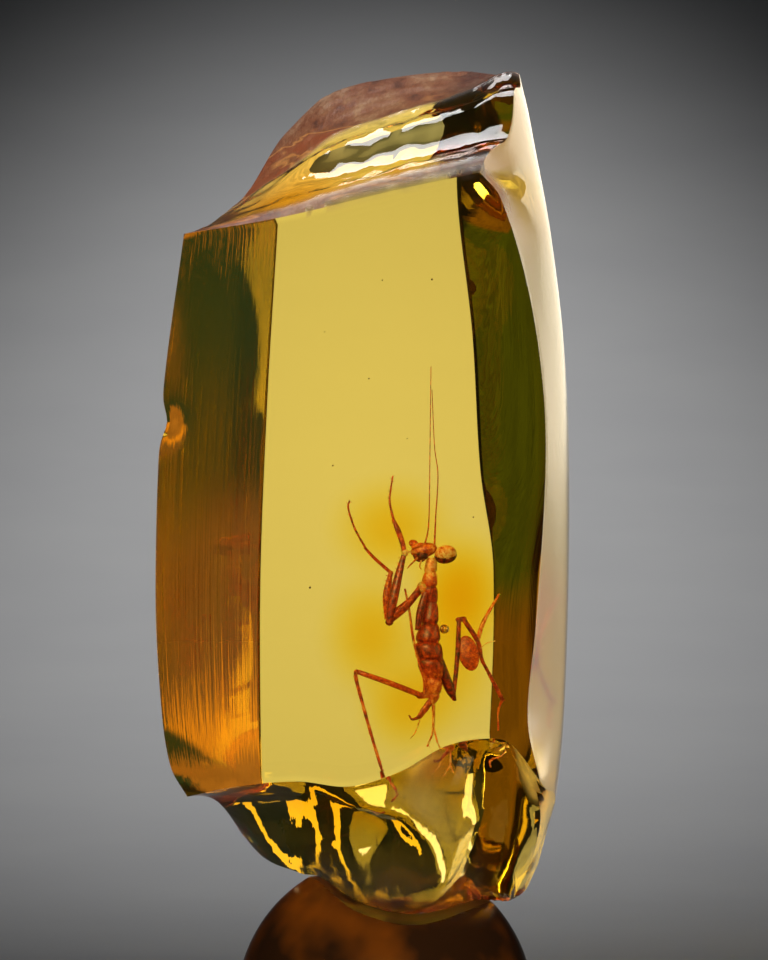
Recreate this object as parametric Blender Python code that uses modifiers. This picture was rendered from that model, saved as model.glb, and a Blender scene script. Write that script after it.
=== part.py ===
"""A praying mantis in a polished piece of amber, standing on a small dark dome.

Metres, +Z up, +X to the viewer's right, +Y away from the viewer, who faces the flat polished face.
The origin is in the middle of the footprint, on the surface that the stand rests on.
Outlines and places below are in millimetres and are scaled once, by MM, where a mesh is made.
"""
import math

import bmesh
import bpy
from mathutils import Matrix, Vector

MM = 0.001

# Driving dimensions of the amber block
DEPTH = 14.0
BULGE_AT = 0.3        # share of the depth where the right side stands out furthest
LEDGE_AT = 0.5        # share of the depth where the top break steps up
LEDGE_RISE = 0.6      # share of the top's whole rise that is in front of the ledge
KEEL_AT = 0.6         # share of the depth where the underside is lowest
SLICES_ACROSS = 14
SLICES_DEEP = 10
SLICES_HIGH = 16

# The parting that lets the insect be a piece of its own, and its pocket
PARTING_Y = -1.0
GAP = 0.3
POCKET_IN_FRONT = 1.3
POCKET_BEHIND = 1.5

# Driving dimensions of the stand
STAND_X = 1.03
STAND_RADIUS = 7.3
STAND_SHOULDER = 3.6  # height where the dome begins
STAND_CHAMFER = 0.4
STAND_SIDES = 64

# Side outlines, read upwards: (height, X)
FRONT_LEFT = [(14.0, -8.4), (15.6, -9.3), (19.1, -9.8), (24.5, -10.02), (33.1, -9.7), (41.3, -8.65)]
BACK_LEFT = [(9.0, -5.0), (23.5, -5.15), (33.3, -4.8), (41.7, -4.3), (46.7, -4.0), (48.0, -2.9)]
FRONT_RIGHT = [(14.9, 8.5), (17.8, 7.9), (22.5, 8.3), (29.5, 8.75), (33.8, 8.65), (38.7, 7.9),
               (43.1, 6.55), (44.2, 5.6)]
BULGE_RIGHT = [(9.2, 7.9), (10.5, 8.55), (13.2, 9.25), (18.1, 9.77), (28.4, 10.02), (35.8, 9.77),
               (42.2, 9.0), (47.3, 8.0), (49.5, 7.2)]
BACK_RIGHT = [(9.0, 5.6), (14.9, 6.1), (25.0, 6.4), (29.9, 5.75), (36.7, 5.35), (43.6, 4.6), (49.8, 4.3)]

# End outlines, read to the right: (X, height)
FRONT_TOP = [(-8.65, 41.26), (-4.0, 42.05), (1.8, 43.42), (5.6, 44.21)]
BACK_TOP = [(-8.6, 41.3), (-6.5, 43.4), (-5.0, 45.6), (-4.0, 46.8), (-1.9, 48.7), (0.8, 49.5),
            (4.7, 49.9), (7.2, 49.4), (8.5, 47.0)]
FRONT_BOTTOM = [(-8.5, 14.15), (-6.1, 14.64), (-3.15, 14.88), (-0.7, 14.64), (1.8, 15.38), (4.0, 16.6),
                (6.2, 16.95), (7.2, 16.6), (8.5, 14.88)]
KEEL = [(-8.0, 13.3), (-6.5, 12.3), (-5.0, 10.7), (-3.15, 9.92), (-2.2, 9.73), (-0.4, 8.5), (2.5, 7.86),
        (5.7, 8.6), (7.5, 9.0), (8.55, 10.46), (9.2, 13.16)]

# Shell-shaped hollows of the broken underside: (X, share of depth, radius, share of depth, how deep)
UNDER_HOLLOWS = [(-4.4, 0.32, 2.3, 0.24, 0.5), (6.1, 0.36, 1.7, 0.24, 0.7), (0.9, 0.5, 1.7, 0.2, 0.45)]
# The ridge between the first two of them runs from the front edge to the right and back
RIDGE_FROM = -1.2
RIDGE_TO = 3.2
RIDGE_LENGTH = 0.35
RIDGE_HEIGHT = 0.45
RIDGE_WIDTH = 0.9

# The pocket's outline around the insect: (X, height)
POCKET = [(2.9, 35.3), (3.7, 35.3), (4.1, 29.5), (4.1, 27.0), (4.95, 26.4), (5.1, 24.6), (6.4, 24.4),
          (7.1, 23.9), (7.3, 18.6), (7.0, 16.8), (4.6, 16.0), (2.4, 16.0), (1.4, 14.6), (0.3, 14.5),
          (-0.8, 19.3), (-0.8, 20.5), (0.6, 21.2), (0.5, 24.5), (-1.25, 27.8), (-1.1, 28.9), (0.9, 28.4),
          (1.0, 30.0), (1.85, 30.0), (2.8, 27.6)]

# The insect's stretches: (X, depth behind the parting, height, radius) at each joint
TRUNK = [(3.3, 0.0, 25.6, 0.26), (3.24, 0.0, 24.9, 0.34), (3.2, 0.0, 24.2, 0.4), (3.28, 0.0, 23.4, 0.34),
         (3.2, 0.0, 22.4, 0.47), (3.12, 0.0, 21.5, 0.66), (3.22, 0.0, 20.6, 0.68), (3.36, 0.0, 19.7, 0.5),
         (3.4, 0.0, 18.95, 0.34), (3.36, 0.0, 18.5, 0.15)]
LIMBS = {
    "near_coxa": [(2.9, -0.1, 24.3, 0.2), (2.05, -0.45, 23.25, 0.21), (1.25, -0.68, 22.55, 0.19)],
    "near_femur": [(1.22, -0.68, 22.42, 0.16), (1.45, -0.68, 23.7, 0.24), (1.72, -0.64, 24.9, 0.19),
                   (1.96, -0.6, 25.8, 0.12)],
    "near_tibia": [(1.98, -0.6, 25.7, 0.1), (1.9, -0.58, 26.25, 0.13), (1.66, -0.54, 26.95, 0.14),
                   (1.45, -0.5, 27.45, 0.09)],
    "near_foot": [(1.47, -0.5, 27.35, 0.07), (1.26, -0.46, 28.3, 0.055), (1.3, -0.4, 28.9, 0.05),
                  (1.41, -0.3, 29.6, 0.045)],
    "far_coxa": [(2.95, 0.15, 24.2, 0.19), (2.1, 0.4, 23.4, 0.17), (1.15, 0.52, 22.75, 0.15)],
    "far_femur": [(1.14, 0.52, 22.6, 0.14), (1.12, 0.55, 23.8, 0.2), (1.32, 0.58, 24.95, 0.1)],
    "far_tibia": [(1.34, 0.58, 24.85, 0.1), (0.51, 0.6, 25.59, 0.09), (0.06, 0.62, 26.08, 0.075)],
    "far_foot": [(0.1, 0.62, 26.04, 0.06), (-0.44, 0.64, 27.02, 0.055), (-0.76, 0.66, 28.0, 0.05),
                 (-0.7, 0.68, 28.4, 0.045)],
    "left_hip": [(3.3, -0.1, 19.0, 0.22), (2.7, -0.2, 18.88, 0.15)],
    "left_femur": [(2.8, -0.18, 18.9, 0.14), (1.4, -0.5, 19.46, 0.14), (-0.27, -0.82, 20.06, 0.12)],
    "left_tibia": [(-0.36, -0.82, 20.12, 0.11), (-0.38, -0.8, 19.73, 0.1), (-0.05, -0.74, 18.48, 0.09),
                   (0.31, -0.66, 17.17, 0.085), (0.9, -0.55, 15.2, 0.075)],
    "left_foot": [(0.92, -0.55, 15.28, 0.07), (0.69, -0.5, 14.98, 0.05)],
    "right_thigh": [(3.55, 0.1, 21.0, 0.2), (3.92, 0.2, 19.9, 0.27), (4.2, 0.28, 19.15, 0.24),
                    (4.42, 0.32, 18.66, 0.1)],
    "right_femur": [(4.36, 0.32, 18.8, 0.1), (4.55, 0.4, 20.7, 0.12), (4.64, 0.45, 22.66, 0.11)],
    "right_knee": [(4.58, 0.45, 22.58, 0.12), (4.9, 0.48, 22.62, 0.12)],
    "right_tibia": [(4.82, 0.48, 22.68, 0.12), (5.55, 0.58, 21.52, 0.12), (5.74, 0.62, 20.68, 0.1),
                    (6.03, 0.68, 20.09, 0.09), (6.78, 0.75, 18.64, 0.11)],
    "right_foot": [(6.8, 0.75, 18.74, 0.08), (6.56, 0.75, 18.13, 0.06), (6.56, 0.75, 17.17, 0.05)],
    "far_limb": [(5.52, 0.6, 21.5, 0.11), (5.85, 0.8, 22.5, 0.11), (6.6, 1.1, 23.83, 0.06)],
    "tail": [(3.35, 0.0, 18.75, 0.19), (2.95, -0.05, 18.2, 0.19), (2.7, -0.08, 17.84, 0.14)],
    "tail_hook": [(2.74, -0.08, 17.86, 0.1), (2.36, -0.1, 17.74, 0.06), (2.2, -0.1, 17.93, 0.04)],
    "fork_left": [(3.39, 0.0, 18.7, 0.1), (3.37, 0.05, 17.24, 0.06), (3.09, 0.05, 16.41, 0.045)],
    "fork_right": [(3.38, 0.05, 17.4, 0.05), (3.59, 0.1, 16.57, 0.045)],
    "left_antenna": [(2.95, -0.1, 26.2, 0.05), (3.13, -0.12, 26.99, 0.04), (3.19, -0.14, 28.2, 0.035),
                     (3.22, -0.16, 30.85, 0.032), (3.27, -0.18, 34.93, 0.03)],
    "right_antenna": [(3.44, 0.05, 26.2, 0.05), (3.5, 0.07, 27.61, 0.04), (3.61, 0.1, 29.62, 0.035),
                      (3.44, 0.12, 31.09, 0.032), (3.32, 0.14, 33.8, 0.03)],
}
# The insect's rounded forms: (centre, half sizes, tilt about the depth axis in degrees)
ROUNDED = {
    "face": ((2.92, 0.0, 25.98), (0.66, 0.42, 0.36), -12),
    "near_eye": ((3.98, -0.1, 25.8), (0.54, 0.42, 0.43), -8),
    "far_eye": ((2.42, 0.12, 26.3), (0.24, 0.26, 0.19), 20),
    "mouth": ((2.72, -0.1, 25.7), (0.34, 0.28, 0.3), 30),
    "wing_pad": ((5.1, 0.5, 20.95), (0.5, 0.12, 0.88), -14),
}
# Spines: the limb they grow from, how many, their length, and the way they point
SPINES = {
    "near_femur": (7, 0.26, (-1.0, -0.2, 0.45)),
    "far_femur": (6, 0.24, (-1.0, 0.2, 0.3)),
    "near_tibia": (4, 0.2, (-1.0, -0.1, 0.35)),
}
SPINE_RADIUS = 0.035


def curve_through(points, at):
    """Read a smooth curve through a few outline points."""
    if at <= points[0][0]:
        return points[0][1]
    if at >= points[-1][0]:
        return points[-1][1]
    after = next(i for i, point in enumerate(points) if point[0] >= at)
    (start, low), (end, high) = points[after - 1], points[after]
    before = points[max(after - 2, 0)]
    beyond = points[min(after + 1, len(points) - 1)]
    width = end - start
    slope_in = (high - before[1]) / (end - before[0]) * width
    slope_out = (beyond[1] - low) / (beyond[0] - start) * width
    t = (at - start) / width
    return (low * (2 * t ** 3 - 3 * t ** 2 + 1) + slope_in * (t ** 3 - 2 * t ** 2 + t)
            + high * (3 * t ** 2 - 2 * t ** 3) + slope_out * (t ** 3 - t ** 2))


def mix(a, b, t):
    return a + (b - a) * t


def swell(distance, width):
    return math.exp(-(distance / width) ** 2)


def left_side(deep, height):
    return mix(curve_through(FRONT_LEFT, height), curve_through(BACK_LEFT, height), deep)


def right_side(deep, height):
    front = curve_through(FRONT_RIGHT, height)
    bulge = curve_through(BULGE_RIGHT, height)
    back = curve_through(BACK_RIGHT, height)
    if deep < BULGE_AT:
        return mix(front, bulge, math.sin(deep / BULGE_AT * math.pi / 2))
    return mix(bulge, back, ((deep - BULGE_AT) / (1 - BULGE_AT)) ** 1.5)


def top_break(across, deep):
    """A flute climbs from the front edge to a ledge, and a long slope lies behind it."""
    if deep < LEDGE_AT:
        t = deep / LEDGE_AT
        share = LEDGE_RISE * (0.35 * t + 0.65 * t ** 2.2)
    else:
        t = (deep - LEDGE_AT) / (1 - LEDGE_AT)
        share = mix(LEDGE_RISE, 1.0, math.sin(t * math.pi / 2))
    return mix(curve_through(FRONT_TOP, across), curve_through(BACK_TOP, across), share)


def under_break(across, deep):
    """The underside falls to a keel, then turns up again, with hollows and one ridge."""
    if deep < KEEL_AT:
        t = deep / KEEL_AT
        share = 0.75 * t + 0.25 * t * t * (3 - 2 * t)
    else:
        share = 1 - 0.35 * ((deep - KEEL_AT) / (1 - KEEL_AT)) ** 2
    height = mix(curve_through(FRONT_BOTTOM, across), curve_through(KEEL, across), share)
    inside = math.sin(min(deep / KEEL_AT, 1.0) * math.pi)
    for middle, depth_at, radius, depth_radius, hollow in UNDER_HOLLOWS:
        height += inside * hollow * swell(across - middle, radius) * swell(deep - depth_at, depth_radius)
    ridge = mix(RIDGE_FROM, RIDGE_TO, min(deep / RIDGE_LENGTH, 1.0))
    height -= inside * RIDGE_HEIGHT * swell(across - ridge, RIDGE_WIDTH)
    return height


def amber_place(share):
    """Turn a point of the unit cube into its place on the block: X and height settle together."""
    across, deep, up = share
    height = mix(KEEL[6][1], BACK_TOP[5][1], up)
    for _ in range(6):
        x = mix(left_side(deep, height), right_side(deep, height), across)
        height = mix(under_break(x, deep), top_break(x, deep), up)
    return Vector((x, DEPTH * (deep - 0.5), height)) * MM


def new_object(name, mesh, collection):
    made = bpy.data.objects.new(name, mesh)
    collection.objects.link(made)
    return made


def mesh_from(bm, name):
    mesh = bpy.data.meshes.new(name)
    bmesh.ops.recalc_face_normals(bm, faces=bm.faces)
    bm.to_mesh(mesh)
    bm.free()
    return mesh


def as_cutter(made):
    made.hide_render = True
    made.display_type = "WIRE"
    return made


def boolean(made, name, operation, cutter):
    modifier = made.modifiers.new(name, "BOOLEAN")
    modifier.operation = operation
    modifier.solver = "EXACT"
    modifier.object = cutter
    return modifier


def material(name, color, roughness, transmission=0.0, ior=1.45):
    made = bpy.data.materials.new(name)
    made.use_nodes = True
    made.diffuse_color = (*color, 1.0)
    shader = made.node_tree.nodes["Principled BSDF"]
    shader.inputs["Base Color"].default_value = (*color, 1.0)
    shader.inputs["Roughness"].default_value = roughness
    shader.inputs["Metallic"].default_value = 0.0
    shader.inputs["Transmission Weight"].default_value = transmission
    shader.inputs["IOR"].default_value = ior
    return made


def sliced_cube():
    """A unit cube cut into slices along each axis, closed as it started."""
    bm = bmesh.new()
    bmesh.ops.create_cube(bm, size=1.0)
    bmesh.ops.translate(bm, verts=bm.verts, vec=(0.5, 0.5, 0.5))
    for axis, slices in enumerate((SLICES_ACROSS, SLICES_DEEP, SLICES_HIGH)):
        normal = Vector((0, 0, 0))
        normal[axis] = 1.0
        for i in range(1, slices):
            everything = bm.verts[:] + bm.edges[:] + bm.faces[:]
            bmesh.ops.bisect_plane(bm, geom=everything, dist=1e-7, plane_co=normal * (i / slices), plane_no=normal)
    return bm


def amber_mesh(name):
    bm = sliced_cube()
    for vert in bm.verts:
        vert.co = amber_place(vert.co)
    return mesh_from(bm, name)


def box_cutter(name, low, high, cutters):
    bm = bmesh.new()
    bmesh.ops.create_cube(bm, size=1.0)
    middle = (Vector(low) + Vector(high)) * 0.5
    size = Vector(high) - Vector(low)
    bmesh.ops.scale(bm, verts=bm.verts, vec=size * MM)
    bmesh.ops.translate(bm, verts=bm.verts, vec=middle * MM)
    return as_cutter(new_object(name, mesh_from(bm, name), cutters))


def outline_cutter(name, outline, front, back, cutters):
    """A flat outline in X and height, as thick as from front to back."""
    bm = bmesh.new()
    face = bm.faces.new([bm.verts.new((x * MM, front * MM, z * MM)) for x, z in outline])
    grown = bmesh.ops.extrude_face_region(bm, geom=[face])
    moved = [item for item in grown["geom"] if isinstance(item, bmesh.types.BMVert)]
    bmesh.ops.translate(bm, verts=moved, vec=(0, (back - front) * MM, 0))
    return as_cutter(new_object(name, mesh_from(bm, name), cutters))


def amber_halves(parts, cutters):
    """The block is one stone: it is parted only to leave a pocket for the insect."""
    amber = material("amber", (0.85, 0.52, 0.07), 0.05, transmission=1.0, ior=1.54)
    reach = 60.0
    pocket = outline_cutter("pocket", POCKET, PARTING_Y - POCKET_IN_FRONT, PARTING_Y + POCKET_BEHIND, cutters)
    front_room = box_cutter("front_room", (-reach, -reach, -reach), (reach, PARTING_Y + GAP / 2, reach), cutters)
    back_room = box_cutter("back_room", (-reach, PARTING_Y - GAP / 2, -reach), (reach, reach, reach), cutters)
    for name, room in (("amber_front", back_room), ("amber_back", front_room)):
        half = new_object(name, amber_mesh(name), parts)
        half.data.materials.append(amber)
        boolean(half, "parting", "DIFFERENCE", room)
        boolean(half, "pocket", "DIFFERENCE", pocket)


def limb_mesh(name, joints):
    """A tapered round stretch through its joints, from a curve with filled caps."""
    curve = bpy.data.curves.new(name, "CURVE")
    curve.dimensions = "3D"
    curve.bevel_depth = MM
    curve.bevel_resolution = 1
    curve.use_fill_caps = True
    spline = curve.splines.new("POLY")
    spline.points.add(len(joints) - 1)
    for point, (x, y, z, radius) in zip(spline.points, joints):
        point.co = (x * MM, (y + PARTING_Y) * MM, z * MM, 1.0)
        point.radius = radius
    guide = bpy.data.objects.new(name, curve)
    bpy.context.scene.collection.objects.link(guide)
    bpy.context.view_layer.update()
    solid = bpy.data.meshes.new_from_object(guide.evaluated_get(bpy.context.evaluated_depsgraph_get()))
    bpy.data.objects.remove(guide)
    bm = bmesh.new()
    bm.from_mesh(solid)
    bmesh.ops.remove_doubles(bm, verts=bm.verts, dist=1e-7)
    return mesh_from(bm, name)


def rounded_mesh(name, centre, half_sizes, tilt):
    bm = bmesh.new()
    bmesh.ops.create_uvsphere(bm, u_segments=12, v_segments=8, radius=1.0)
    bmesh.ops.scale(bm, verts=bm.verts, vec=Vector(half_sizes) * MM)
    bmesh.ops.rotate(bm, verts=bm.verts, cent=(0, 0, 0), matrix=Matrix.Rotation(math.radians(tilt), 3, "Y"))
    place = Vector((centre[0], centre[1] + PARTING_Y, centre[2])) * MM
    bmesh.ops.translate(bm, verts=bm.verts, vec=place)
    return mesh_from(bm, name)


def spine_mesh(name, root, direction, length):
    bm = bmesh.new()
    bmesh.ops.create_cone(bm, cap_ends=True, segments=4, radius1=SPINE_RADIUS * MM,
                          radius2=SPINE_RADIUS * MM / 4, depth=length * MM)
    bmesh.ops.translate(bm, verts=bm.verts, vec=(0, 0, length * MM / 2))
    turn = direction.to_track_quat("Z", "Y").to_matrix()
    bmesh.ops.rotate(bm, verts=bm.verts, cent=(0, 0, 0), matrix=turn)
    bmesh.ops.translate(bm, verts=bm.verts, vec=Vector((root[0], root[1] + PARTING_Y, root[2])) * MM)
    return mesh_from(bm, name)


def point_along(joints, share):
    """The place at a share of the way through a limb's joints."""
    place = share * (len(joints) - 1)
    start = min(int(place), len(joints) - 2)
    return [mix(a, b, place - start) for a, b in zip(joints[start], joints[start + 1])]


def mantis(parts, cutters):
    """One insect: trunk, head, limbs and spines are fused by a union."""
    limbs = bpy.data.collections.new("mantis_limbs")
    cutters.children.link(limbs)
    for name, joints in LIMBS.items():
        as_cutter(new_object(name, limb_mesh(name, joints), limbs))
    for name, (centre, half_sizes, tilt) in ROUNDED.items():
        as_cutter(new_object(name, rounded_mesh(name, centre, half_sizes, tilt), limbs))
    for limb, (count, length, direction) in SPINES.items():
        for i in range(count):
            name = f"{limb}_spine_{i + 1}"
            root = point_along(LIMBS[limb], (i + 1) / (count + 1))
            as_cutter(new_object(name, spine_mesh(name, root, Vector(direction), length), limbs))
    insect = new_object("mantis", limb_mesh("mantis", TRUNK), parts)
    insect.data.materials.append(material("mantis", (0.32, 0.08, 0.02), 0.45))
    union = insect.modifiers.new("fused", "BOOLEAN")
    union.operation = "UNION"
    union.solver = "EXACT"
    union.operand_type = "COLLECTION"
    union.collection = limbs


def stand(parts, cutters):
    """A turned dome whose top is cut to the amber's lower outline."""
    rise = STAND_RADIUS
    outline = [(0.0, STAND_SHOULDER + rise)]
    arc_steps = 16
    for i in range(1, arc_steps + 1):
        angle = math.pi / 2 * (1 - i / arc_steps)
        outline.append((STAND_RADIUS * math.cos(angle), STAND_SHOULDER + rise * math.sin(angle)))
    outline += [(STAND_RADIUS, STAND_CHAMFER), (STAND_RADIUS - STAND_CHAMFER, 0.0), (0.0, 0.0)]
    bm = bmesh.new()
    verts = [bm.verts.new((x * MM, 0.0, z * MM)) for x, z in outline]
    for a, b in zip(verts, verts[1:]):
        bm.edges.new((a, b))
    profile = bpy.data.meshes.new("stand")
    bm.to_mesh(profile)
    bm.free()
    made = new_object("stand", profile, parts)
    made.location.x = STAND_X * MM
    profile.materials.append(material("stand", (0.05, 0.022, 0.008), 0.25))
    turned = made.modifiers.new("turned", "SCREW")
    turned.steps = STAND_SIDES
    turned.render_steps = STAND_SIDES
    turned.use_merge_vertices = True
    turned.merge_threshold = 0.000001
    seat = [(x / 2, curve_through(KEEL, x / 2) - GAP) for x in range(-16, 19)]
    room = [(-12.0, seat[0][1]), *seat, (12.0, seat[-1][1]), (12.0, 20.0), (-12.0, 20.0)]
    boolean(made, "seat", "DIFFERENCE", outline_cutter("seat", room, -12.0, 12.0, cutters))


def build():
    for old in list(bpy.data.objects):
        bpy.data.objects.remove(old)
    parts = bpy.data.collections.new("praying_mantis_in_amber")
    cutters = bpy.data.collections.new("cutters")
    for collection in (parts, cutters):
        bpy.context.scene.collection.children.link(collection)
    amber_halves(parts, cutters)
    mantis(parts, cutters)
    stand(parts, cutters)


build()
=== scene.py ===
# %% [markdown]
# # A praying mantis in amber
#
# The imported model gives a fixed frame: an amber block that is parted in two halves around the insect,
# the insect itself and a small dark stand. This lesson dresses it. The real thing is one clear, polished
# piece of fossil resin with broken ends, so nearly all of its look comes from light that travels
# through it: the clear window, the dark bands at its sides and the glints in its broken ends are
# refraction and inner reflection. So the work here is in three things: an exact outer form, true values
# for the resin, and a studio that gives the stone something to refract.

# %% Setup
import math

import bmesh
import bpy
from mathutils import Matrix, Vector, noise


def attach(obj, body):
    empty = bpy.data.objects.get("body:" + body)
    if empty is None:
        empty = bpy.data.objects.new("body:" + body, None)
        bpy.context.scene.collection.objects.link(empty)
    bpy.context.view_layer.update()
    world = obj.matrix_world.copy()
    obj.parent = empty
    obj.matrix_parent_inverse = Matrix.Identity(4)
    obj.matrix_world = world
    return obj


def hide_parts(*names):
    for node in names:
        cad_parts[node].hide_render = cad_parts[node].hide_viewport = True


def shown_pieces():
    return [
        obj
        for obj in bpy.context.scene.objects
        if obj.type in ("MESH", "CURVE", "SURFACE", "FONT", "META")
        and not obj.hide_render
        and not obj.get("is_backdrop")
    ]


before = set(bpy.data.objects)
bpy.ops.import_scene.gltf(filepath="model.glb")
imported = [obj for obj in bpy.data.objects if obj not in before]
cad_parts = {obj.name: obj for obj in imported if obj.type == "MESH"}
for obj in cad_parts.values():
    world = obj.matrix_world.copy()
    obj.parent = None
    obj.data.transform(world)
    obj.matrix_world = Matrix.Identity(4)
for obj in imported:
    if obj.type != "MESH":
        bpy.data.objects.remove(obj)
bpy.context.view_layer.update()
MM = 0.001
print("nodes:", sorted(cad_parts))

# %% [markdown]
# ## Colours and nodes
#
# Colours are given as sRGB hex values, but shaders work in linear light, so one function turns the first into the
# second. A second small function adds a node with its settings and links, which keeps each material's recipe to a
# few lines. Every finished mesh becomes a piece in one way, too, so that none is left without its body.

# %% Colours and nodes


def linear(hex_color):
    """An sRGB hex colour as linear red, green, blue and alpha."""
    parts = [int(hex_color[i:i + 2], 16) / 255 for i in (1, 3, 5)]
    return (*[c / 12.92 if c <= 0.04045 else ((c + 0.055) / 1.055) ** 2.4 for c in parts], 1.0)


def add_node(material, kind, settings=None, inputs=None, links=None):
    """A new shader node: settings are its properties, inputs its fixed values, links its inputs' sources."""
    node = material.node_tree.nodes.new("ShaderNode" + kind)
    for name, value in (settings or {}).items():
        setattr(node, name, value)
    for name, value in (inputs or {}).items():
        node.inputs[name].default_value = value
    for name, source in (links or {}).items():
        link(material, source, node.inputs[name])
    return node


def link(material, source, target):
    """Join an output to an input; a node given as the source stands for its first output."""
    if isinstance(source, bpy.types.Node):
        source = source.outputs[0]
    material.node_tree.links.new(source, target)


def set_stops(tone, *stops):
    """Give a colour ramp its stops, each a position and a hex colour, and return its colour."""
    elements = tone.color_ramp.elements
    first, last = elements[0], elements[1]
    first.position, first.color = stops[0][0], linear(stops[0][1])
    last.position, last.color = stops[-1][0], linear(stops[-1][1])
    for position, color in stops[1:-1]:
        elements.new(position).color = linear(color)
    return tone.outputs["Color"]


def new_material(name, inputs):
    """A material with its Principled shader, whose fixed values are set on its own sockets."""
    print("material:", name)
    material = bpy.data.materials.new(name)
    material.use_nodes = True
    shader = material.node_tree.nodes["Principled BSDF"]
    for socket, value in inputs.items():
        shader.inputs[socket].default_value = value
    return material, shader


def clouded_material(name, inputs, cloud_scale, detail, *stops):
    """A material whose colour drifts between its stops over about 1 / cloud_scale metres."""
    material, shader = new_material(name, inputs)
    place = add_node(material, "TexCoord").outputs["Object"]
    clouds = add_node(material, "TexNoise", inputs={"Scale": cloud_scale, "Detail": detail},
                      links={"Vector": place})
    link(material, set_stops(add_node(material, "ValToRGB", links={"Fac": clouds}), *stops),
         shader.inputs["Base Color"])
    return material


def new_object(name, bm, material):
    mesh = bpy.data.meshes.new(name)
    bm.to_mesh(mesh)
    bm.free()
    mesh.shade_smooth()
    mesh.materials.append(material)
    made = bpy.data.objects.new(name, mesh)
    bpy.context.scene.collection.objects.link(made)
    print(f"{name}: {sum(len(p.vertices) - 2 for p in mesh.polygons)} triangles")
    return made


def new_piece(name, bm, material, smooth_below):
    """A finished mesh as a piece that rides on the part's only body."""
    piece = new_object(name, bm, material)
    piece.data.set_sharp_from_angle(angle=math.radians(smooth_below))
    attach(piece, "root")
    return piece


# %% [markdown]
# ## The block's outlines
#
# The block has one flat polished face, towards the viewer. Its left side slopes in towards the back, its
# right side swells and then slopes in, and both ends are broken. Each of these is a few points in
# millimetres, read as a smooth curve. The same points made the frame's plain halves, so the fine form
# lies where the plain one does.

# %% Outlines of the block
DEPTH = 14.0
# shares of the depth: where the right side swells most, and where the underside is lowest
BULGE_AT = 0.3
BULGE_AT_TOP = 0.55
KEEL_AT = 0.68
KEEL_AT_RIGHT = 0.36
# (height, X) of the sides, seen from the front and at the back
FRONT_LEFT = [(14.0, -8.4), (15.6, -9.3), (19.1, -9.8), (24.5, -10.02), (33.1, -9.7), (41.3, -8.65)]
BACK_LEFT = [(9.0, -5.0), (23.5, -5.15), (33.3, -4.8), (41.7, -4.3), (46.7, -4.0), (48.0, -2.9)]
FRONT_RIGHT = [(14.9, 8.5), (17.8, 7.9), (22.5, 8.3), (29.5, 8.75), (33.8, 8.65), (38.7, 7.9),
               (43.1, 6.55), (44.2, 5.6)]
BULGE_RIGHT = [(9.2, 7.9), (10.5, 8.55), (13.2, 9.25), (18.1, 9.77), (28.4, 10.02), (35.8, 9.77),
               (42.2, 9.0), (47.3, 8.15), (49.6, 7.6)]
BACK_RIGHT = [(9.0, 5.6), (14.9, 6.1), (25.0, 6.4), (29.9, 5.75), (36.7, 5.35), (43.6, 4.6), (47.5, 4.8),
              (49.8, 5.2)]
# (X, height) of the ends
FRONT_TOP = [(-8.65, 41.26), (-4.0, 42.05), (1.8, 43.42), (5.6, 44.21)]
BACK_TOP = [(-8.6, 41.3), (-6.5, 43.4), (-5.0, 45.6), (-4.0, 46.8), (-1.9, 48.7), (0.8, 49.5),
            (4.7, 49.9), (7.2, 49.4), (8.5, 47.0)]
FRONT_BOTTOM = [(-8.5, 14.15), (-6.1, 14.64), (-3.15, 14.88), (-0.7, 14.64), (1.8, 15.38), (4.0, 16.6),
                (6.2, 16.95), (7.2, 16.6), (8.5, 14.88)]
KEEL = [(-8.0, 13.3), (-6.5, 12.3), (-5.0, 10.7), (-3.15, 9.92), (-2.2, 9.73), (-0.4, 8.5), (2.5, 7.86),
        (5.7, 8.6), (7.5, 9.0), (8.55, 10.46), (9.2, 13.16)]


def mix(a, b, t):
    return a + (b - a) * t


def ramp(value, start, end):
    """From 0 at start to 1 at end, eased at both ends."""
    t = min(max((value - start) / (end - start), 0.0), 1.0)
    return t * t * (3 - 2 * t)


def swell(distance, width):
    """A smooth bump: 1 in the middle, about a third at the given width."""
    return math.exp(-(distance / width) ** 2)


def curve_through(points, at):
    """Read a smooth curve through a few outline points."""
    if at <= points[0][0]:
        return points[0][1]
    if at >= points[-1][0]:
        return points[-1][1]
    after = next(i for i, point in enumerate(points) if point[0] >= at)
    (start, low), (end, high) = points[after - 1], points[after]
    before = points[max(after - 2, 0)]
    beyond = points[min(after + 1, len(points) - 1)]
    width = end - start
    slope_in = (high - before[1]) / (end - before[0]) * width
    slope_out = (beyond[1] - low) / (beyond[0] - start) * width
    t = (at - start) / width
    return (low * (2 * t ** 3 - 3 * t ** 2 + 1) + slope_in * (t ** 3 - 2 * t ** 2 + t)
            + high * (3 * t ** 2 - 2 * t ** 3) + slope_out * (t ** 3 - t ** 2))


print("the front face is", round(curve_through(FRONT_RIGHT, 30) - curve_through(FRONT_LEFT, 30), 1), "mm wide")


def left_side(deep, height):
    return mix(curve_through(FRONT_LEFT, height), curve_through(BACK_LEFT, height), deep)


def right_side(deep, height):
    front = curve_through(FRONT_RIGHT, height)
    bulge = curve_through(BULGE_RIGHT, height)
    back = curve_through(BACK_RIGHT, height)
    bulge_at = mix(BULGE_AT, BULGE_AT_TOP, ramp(height, 41.0, 46.5))
    if deep < bulge_at:
        return mix(front, bulge, math.sin(deep / bulge_at * math.pi / 2))
    return mix(bulge, back, ((deep - bulge_at) / (1 - bulge_at)) ** 1.5)


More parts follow.
